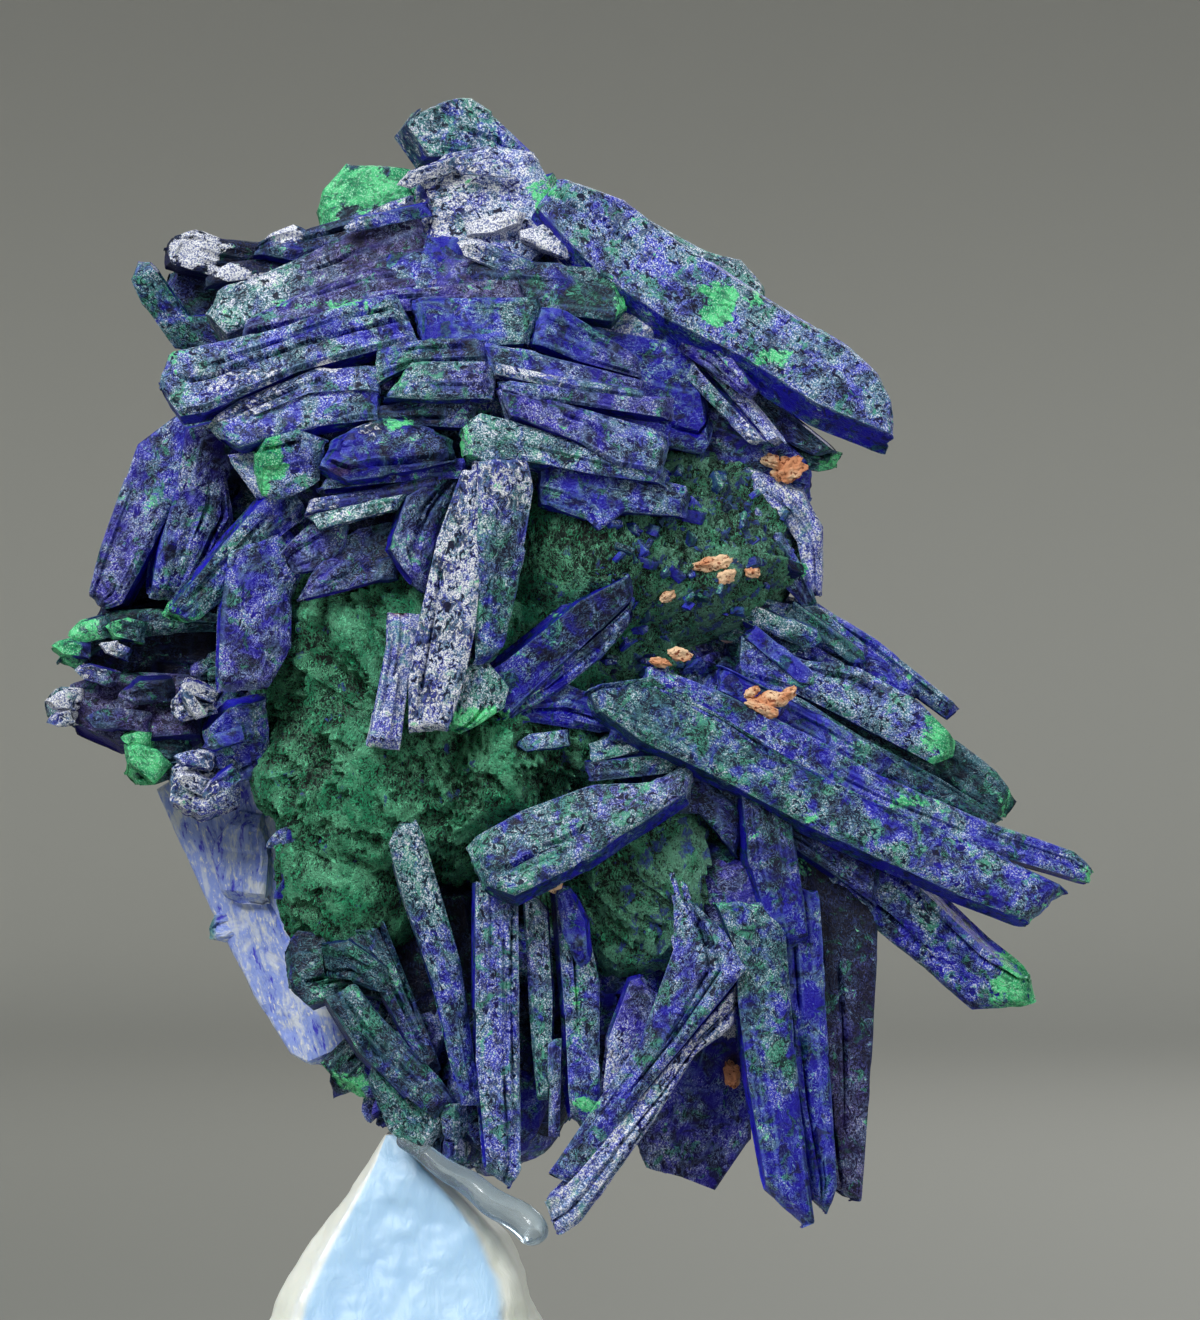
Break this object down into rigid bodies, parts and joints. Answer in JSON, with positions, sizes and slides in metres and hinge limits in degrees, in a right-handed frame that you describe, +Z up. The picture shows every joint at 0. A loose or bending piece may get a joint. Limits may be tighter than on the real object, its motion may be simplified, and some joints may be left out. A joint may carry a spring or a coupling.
{
  "type": "azurite specimen",
  "caption": "Azurite crystal cluster: radiating laths in a cap and fans around felted malachite, standing on a lump of display putty.",
  "frame": {"origin": "on the flat underside of the putty, under the middle of the specimen", "axes": "+Z up, -Y towards the viewer of the front, +X to the viewer's right, where the long fan points"},
  "size_m": [0.0532, 0.0263, 0.0695],
  "materials": {
    "azurite": "satin, striated crystal faces",
    "pale_azurite": "satin, bleached and frosted",
    "malachite": "matt, felted",
    "putty": "smooth, waxy",
    "clear_gel": "clear, glossy"
  },
  "bodies": {
    "root": {"azurite_cap": "azurite", "azurite_roof_blades": "azurite", "azurite_left_blades": "azurite", "azurite_centre_blades": "azurite", "azurite_right_fan": "azurite", "azurite_lower_fan": "azurite", "azurite_root_crystals": "azurite", "azurite_rear_spray": "azurite", "azurite_back_slab": "pale_azurite", "malachite_mass": "malachite", "display_putty": "putty", "clear_bead": "clear_gel"}
  },
  "joints": []
}
